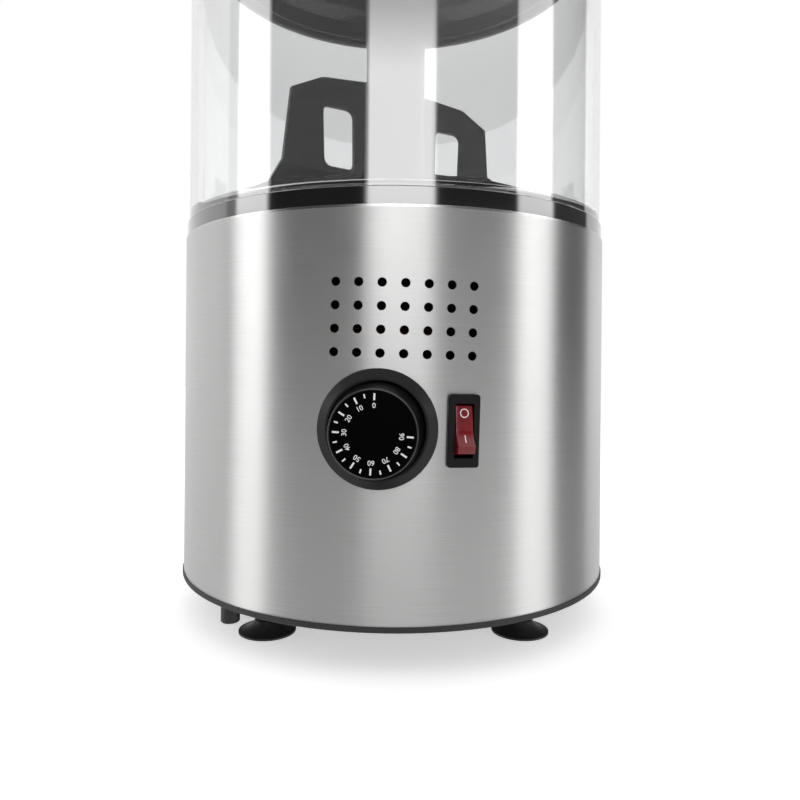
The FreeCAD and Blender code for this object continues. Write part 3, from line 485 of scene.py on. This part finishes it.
def dial_numbers():
    dial = panel_matrix(DIAL_U, CONTROLS_V)
    for i in range(10):
        words = bpy.data.curves.new("dial_number_%d" % (10 * i), "FONT")
        words.body = str(10 * i)
        words.align_x = "CENTER"
        words.align_y = "CENTER"
        words.size = NUMBER_H * TYPE_PER_DIGIT_HEIGHT * MM
        words.offset = NUMBER_BOLDER * MM
        words.materials.append(WHITE_PAINT)
        shape = bpy.data.objects.new(words.name, words)
        bpy.context.scene.collection.objects.link(shape)
        angle = math.radians(SCALE_START_DEG + SCALE_STEP_DEG * i)
        place = Matrix.Translation((0, NUMBER_R, KNOB_H + DIAL_INK))
        place = dial @ Matrix.Rotation(angle, 4, "Z") @ place
        place.translation *= MM
        shape.matrix_world = place
        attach(shape, "knob")


def knob_edge():
    """Polished bead round the edge of the dial's face."""
    bm = lathe(circle_points((KNOB_EDGE_R, KNOB_H - KNOB_EDGE_DROP), KNOB_EDGE_BEAD, 15), 160)
    bmesh.ops.transform(bm, matrix=panel_matrix(DIAL_U, CONTROLS_V), verts=bm.verts)
    piece("knob_edge", bm, KNOB_EDGE, "knob")


# Rocker key: flat upper half, curve up to a crest, blunt lower end; ring and bar marks

FLAT_END_Y = -0.6
FLAT_H = 2.42
FLAT_SLOPE = 0.0187
CREST_Y = -7.28
CREST_H = 4.84
CURVE_POWER = 1.8
CURVE_STEPS = 20
CURVE_STEP = 0.318
KEY_EDGE = 0.45
PIN_LENGTH = 1.2
PIN_X = 4.3
RING_IN_R = 1.55
RING_OUT_R = 1.98
RING_Y = 7.0
BAR_HALF = 0.22
BAR_TOP_Y = -2.3
BAR_LENGTH = 3.3
BAR_STEPS = 12
MARK_ROOT = 0.1


def rocker_height(y):
    """Height of the key's face at this distance from its middle, before it is tilted."""
    if y > FLAT_END_Y:
        return FLAT_H + FLAT_SLOPE * (y - FLAT_END_Y)
    share = (FLAT_END_Y - y) / (FLAT_END_Y - CREST_Y)
    return FLAT_H + (CREST_H - FLAT_H) * share ** CURVE_POWER


def rocker_matrix():
    rock = Matrix.Translation((0, 0, ROCKER_AXIS)) @ Matrix.Rotation(
        -math.radians(ROCKER_REST_DEG), 4, "X") @ Matrix.Translation((0, 0, -ROCKER_AXIS))
    return panel_matrix(SWITCH_U, CONTROLS_V) @ rock


def join_rings(bm, rings):
    """Skin a row of rings of vertices, and cap both ends."""
    count = len(rings[0])
    for a, b in zip(rings, rings[1:]):
        for i in range(count):
            j = (i + 1) % count
            bm.faces.new((a[i], a[j], b[j], b[i]))
    bm.faces.new(rings[0])
    bm.faces.new(rings[-1])


def rocker_profile():
    """Side view of the key as (y, height) points."""
    levels = [10.0, 8.0, 6.0, 4.0, 2.0, 0.5, FLAT_END_Y]
    levels += [FLAT_END_Y - CURVE_STEP * i for i in range(1, CURVE_STEPS + 1)]
    face = [(y, rocker_height(y)) for y in levels]
    blunt_end = [(CREST_Y, CREST_H), (-7.5, 4.9), (-7.75, 4.84), (-9.7, 3.95), (-10.0, 3.75), (-10.25, 3.4)]
    keel = [(-10.5, 0.2), (-ROCKER_HALF, -1.6), (-2.6, -3.6), (2.6, -3.6), (ROCKER_HALF, -1.6)]
    return face + blunt_end + keel + [(ROCKER_HALF, 2.1), (10.35, 2.4)]


def rocker_key():
    profile = rocker_profile()
    inward = []
    for i in range(len(profile)):
        before, after = profile[i - 1], profile[(i + 1) % len(profile)]
        along = Vector((after[0] - before[0], after[1] - before[1])).normalized()
        inward.append(Vector((-along.y, along.x)))
    bm = bmesh.new()
    rings = []
    for side, turns in ((-1, (90, 60, 30, 0)), (1, (0, 30, 60, 90))):
        for turn in turns:
            angle = math.radians(turn)
            x = side * (ROCKER_W / 2 - KEY_EDGE + KEY_EDGE * math.sin(angle))
            inset = KEY_EDGE * (1 - math.cos(angle))
            rings.append([bm.verts.new((x, y + way.x * inset, z + way.y * inset))
                          for (y, z), way in zip(profile, inward)])
    join_rings(bm, rings)
    for side in (-1, 1):
        place = Matrix.Translation((side * PIN_X, 0, ROCKER_AXIS)) @ Matrix.Rotation(math.pi / 2, 4, "Y")
        bmesh.ops.create_cone(bm, cap_ends=True, segments=32, radius1=ROCKER_PIN_R,
                              radius2=ROCKER_PIN_R, depth=PIN_LENGTH, matrix=place)
    bmesh.ops.transform(bm, matrix=rocker_matrix(), verts=bm.verts)
    key = piece("rocker_key", bm, MATERIALS["red_lens"], "rocker", 28.0)
    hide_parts("rocker")


def rocker_ring():
    bm = lathe([(RING_IN_R, -MARK_ROOT), (RING_OUT_R, -MARK_ROOT),
                (RING_OUT_R, INK), (RING_IN_R, INK)], 48)
    place = Matrix.Translation((0, RING_Y, rocker_height(RING_Y)))
    place = place @ Matrix.Rotation(FLAT_SLOPE, 4, "X")
    bmesh.ops.transform(bm, matrix=rocker_matrix() @ place, verts=bm.verts)
    piece("rocker_ring_mark", bm, WHITE_PAINT, "rocker")


def rocker_bar():
    """Bar that follows the curve of the face."""
    bm = bmesh.new()
    rings = []
    for i in range(BAR_STEPS + 1):
        y = BAR_TOP_Y - BAR_LENGTH * i / BAR_STEPS
        z = rocker_height(y)
        rings.append([bm.verts.new((x, y, z + rise))
                      for x, rise in ((-BAR_HALF, -MARK_ROOT), (BAR_HALF, -MARK_ROOT),
                                      (BAR_HALF, INK), (-BAR_HALF, INK))])
    join_rings(bm, rings)
    bmesh.ops.transform(bm, matrix=rocker_matrix(), verts=bm.verts)
    piece("rocker_bar_mark", bm, WHITE_PAINT, "rocker")


# Drum jacket, finer than the CAD mesh so that its reflections run smoothly

def drum_jacket():
    wall = lathe([(BODY_R - JACKET_WALL, JACKET_Z0), (BODY_R, JACKET_Z0),
                  (BODY_R, JACKET_Z1), (BODY_R - JACKET_WALL, JACKET_Z1)], 512)
    jacket = piece("drum_jacket", wall, MATERIALS["brushed_steel"], "base")
    cutters = bmesh.new()
    for row in range(VENT_ROWS):
        for column in range(VENT_COLUMNS):
            u = (column - (VENT_COLUMNS - 1) / 2) * VENT_PITCH
            v = (row - (VENT_ROWS - 1) / 2) * VENT_PITCH
            bmesh.ops.create_cone(cutters, cap_ends=True, segments=32, radius1=VENT_R,
                                  radius2=VENT_R, depth=8, matrix=panel_matrix(u, v))
    bmesh.ops.create_cone(cutters, cap_ends=True, segments=32, radius1=BUSH_HOLE_R,
                          radius2=BUSH_HOLE_R, depth=8, matrix=panel_matrix(DIAL_U, CONTROLS_V))
    flat_box(cutters, -SWITCH_CUT_W / 2, SWITCH_CUT_W / 2, -SWITCH_CUT_H / 2, SWITCH_CUT_H / 2,
             -4, 4, panel_matrix(SWITCH_U, CONTROLS_V))
    for x in (-TRAY_SLOT_X, TRAY_SLOT_X):
        flat_box(cutters, x - TRAY_SLOT_HALF, x + TRAY_SLOT_HALF, *TRAY_SLOT_Y, *TRAY_SLOT_Z)
    bmesh.ops.recalc_face_normals(cutters, faces=cutters.faces)
    mesh = bpy.data.meshes.new("cutters")
    cutters.to_mesh(mesh)
    cutters.free()
    mesh.transform(Matrix.Scale(MM, 4))
    tool = bpy.data.objects.new("cutters", mesh)
    bpy.context.scene.collection.objects.link(tool)
    cut = jacket.modifiers.new("cut", "BOOLEAN")
    cut.object = tool
    cut.solver = "EXACT"
    graph = bpy.context.evaluated_depsgraph_get()
    result = bpy.data.meshes.new_from_object(jacket.evaluated_get(graph))
    jacket.modifiers.clear()
    result.shade_smooth()
    result.set_sharp_from_angle(angle=math.radians(32))
    jacket.data = result
    bpy.data.objects.remove(tool)
    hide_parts("body_shell")


dial_ticks()
dial_numbers()
knob_edge()
rocker_key()
rocker_ring()
rocker_bar()
drum_jacket()


# Studio: pale floor, world with soft boxes, camera

FLOOR_SIZE = 8.0
FLOOR_DROP = 0.0002
FLOOR_LIFT = 0.5
FLOOR_CLEARNESS = 0.7


def floor():
    """White paper that keeps the shadow and lets most glossy rays through."""
    bpy.ops.mesh.primitive_plane_add(size=FLOOR_SIZE, location=(0, 0, -FLOOR_DROP))
    plane = bpy.context.object
    plane.name = "studio_floor"
    m = Nodes("floor_paper")
    m.set(Roughness=0.85)
    m.set(Base_Color=(0.86, 0.86, 0.86, 1))
    m.shader.inputs["Specular IOR Level"].default_value = 0.1
    paths = m.add("ShaderNodeLightPath")
    seen = m.add("ShaderNodeMath", operation="ADD", use_clamp=True)
    m.link(paths.outputs["Is Camera Ray"], seen.inputs[0])
    m.link(paths.outputs["Is Transmission Ray"], seen.inputs[1])
    lift = m.add("ShaderNodeMath", operation="MULTIPLY")
    lift.inputs[1].default_value = FLOOR_LIFT
    m.link(seen.outputs[0], lift.inputs[0])
    m.shader.inputs["Emission Color"].default_value = (1, 1, 1, 1)
    m.link(lift.outputs[0], m.shader.inputs["Emission Strength"])
    clear = m.add("ShaderNodeMath", operation="MULTIPLY")
    clear.inputs[1].default_value = FLOOR_CLEARNESS
    m.link(paths.outputs["Is Glossy Ray"], clear.inputs[0])
    through = m.add("ShaderNodeBsdfTransparent")
    mix = m.add("ShaderNodeMixShader")
    m.link(clear.outputs[0], mix.inputs[0])
    m.link(m.shader.outputs[0], mix.inputs[1])
    m.link(through.outputs[0], mix.inputs[2])
    m.link(mix.outputs[0], m.tree.nodes["Material Output"].inputs["Surface"])
    plane.data.materials.append(m.material)


# Light round the drum, by direction in degrees from the camera's side: soft boxes with dark cards
# between. Each entry is where a zone ends, then how bright it is above the table's level, how bright
# the table is below it, and how bright the zone is in the band that the tank mirrors.
ZONES = [
    (-100.0, 0.9, 0.8, 0.9),
    (-92.0, 0.5, 0.6, 0.5),
    (-70.5, 2.0, 1.95, 2.8),
    (-16.3, 0.09, 0.55, 0.04),
    (17.6, 1.1, 0.52, 3.3),
    (63.0, 0.34, 0.75, 0.05),
    (87.0, 1.75, 1.95, 2.5),
    (120.0, 0.1, 0.25, 0.1),
    (180.0, 0.9, 0.8, 0.9),
]
ZONE_EDGE = 1.0
LIGHT_TOP = 4.0
CEILING = 0.9


def wire(tree, kind, inputs, **settings):
    node = tree.nodes.new(kind)
    for key, value in settings.items():
        setattr(node, key, value)
    for slot, value in inputs.items():
        if isinstance(value, bpy.types.NodeSocket):
            tree.links.new(value, node.inputs[slot])
        else:
            node.inputs[slot].default_value = value
    return node.outputs[0] if node.outputs else None


def level_ramp(tree, factor, stops):
    ramp = tree.nodes.new("ShaderNodeValToRGB")
    elements = ramp.color_ramp.elements
    while len(elements) < len(stops):
        elements.new(0.5)
    for element, (place, level) in zip(elements, stops):
        element.position = place
        element.color = (level, level, level, 1)
    tree.links.new(factor, ramp.inputs[0])
    return ramp.outputs[0]


def zone_stops(column):
    """Ramp stops for one column of the table of zones, with narrow soft edges."""
    stops = [(0.0, ZONES[0][column] / LIGHT_TOP)]
    for here, after in zip(ZONES, ZONES[1:]):
        for degrees, zone in ((here[0] - ZONE_EDGE, here), (here[0] + ZONE_EDGE, after)):
            stops.append(((degrees + CAMERA_TURN + 180) / 360, zone[column] / LIGHT_TOP))
    return stops


def world():
    """White to the camera and through clear plastic; soft boxes for everything else."""
    scene = bpy.context.scene
    scene.world = bpy.data.worlds.new("studio")
    scene.world.use_nodes = True
    tree = scene.world.node_tree
    tree.nodes.clear()
    place = tree.nodes.new("ShaderNodeTexCoord")
    split = tree.nodes.new("ShaderNodeSeparateXYZ")
    tree.links.new(place.outputs["Generated"], split.inputs[0])
    flip = wire(tree, "ShaderNodeMath", {0: split.outputs["X"], 1: -1.0}, operation="MULTIPLY")
    angle = wire(tree, "ShaderNodeMath", {0: flip, 1: split.outputs["Y"]}, operation="ARCTAN2")
    share = wire(tree, "ShaderNodeMapRange",
                 {"Value": angle, "From Min": -math.pi, "From Max": math.pi})
    rise = wire(tree, "ShaderNodeMapRange",
                {"Value": split.outputs["Z"], "From Min": -1.0, "From Max": 1.0})
    above = level_ramp(tree, share, zone_stops(1))
    below = level_ramp(tree, share, zone_stops(2))
    low = level_ramp(tree, rise, [(0.0, 0.0), (0.44, 0.0), (0.5, 1.0)])
    high = level_ramp(tree, rise, [(0.0, 0.0), (0.78, 0.0), (0.86, 1.0)])
    wall = wire(tree, "ShaderNodeMix", {0: low, 6: below, 7: above}, data_type="RGBA")
    wall = wall.node.outputs[2]
    mirrored = level_ramp(tree, share, zone_stops(3))
    band = level_ramp(tree, rise, [(0.6, 0.0), (0.61, 1.0), (0.7, 1.0), (0.75, 0.0)])
    wall = wire(tree, "ShaderNodeMix", {0: band, 6: wall, 7: mirrored}, data_type="RGBA")
    wall = wall.node.outputs[2]
    dome = wire(tree, "ShaderNodeMix",
                {0: high, 6: wall, 7: (CEILING / LIGHT_TOP,) * 3 + (1,)}, data_type="RGBA")
    dome = dome.node.outputs[2]
    glow = wire(tree, "ShaderNodeBackground", {"Color": dome, "Strength": LIGHT_TOP})
    white = wire(tree, "ShaderNodeBackground", {"Color": (1, 1, 1, 1), "Strength": 1.0})
    paths = tree.nodes.new("ShaderNodeLightPath")
    seen = wire(tree, "ShaderNodeMath", {0: paths.outputs["Is Camera Ray"],
                                         1: paths.outputs["Is Transmission Ray"]},
                operation="ADD", use_clamp=True)
    mix = wire(tree, "ShaderNodeMixShader", {0: seen, 1: glow, 2: white})
    wire(tree, "ShaderNodeOutputWorld", {"Surface": mix})


def camera():
    data = bpy.data.cameras.new("camera")
    data.sensor_width = SENSOR_MM
    data.lens = FOCAL_PX / PICTURE_PX * SENSOR_MM
    data.shift_x = (PICTURE_PX / 2 - CENTRE_X_PX) / PICTURE_PX
    data.shift_y = (HORIZON_Y_PX - PICTURE_PX / 2) / PICTURE_PX
    data.clip_start = 0.01
    shape = bpy.data.objects.new("camera", data)
    bpy.context.scene.collection.objects.link(shape)
    turn = math.radians(CAMERA_TURN)
    back = Vector((math.sin(turn), math.cos(turn), 0))
    right = Vector((-math.cos(turn), math.sin(turn), 0))
    up = Vector((0, 0, 1))
    facing = Matrix((right, up, back)).transposed().to_4x4()
    place = Matrix.Translation(back * CAMERA_DISTANCE * MM + up * CAMERA_HEIGHT * MM)
    shape.matrix_world = place @ facing @ Matrix.Rotation(math.radians(CAMERA_ROLL), 4, "Z")
    bpy.context.scene.camera = shape


floor()
world()
camera()
bpy.context.scene.view_settings.view_transform = "Standard"
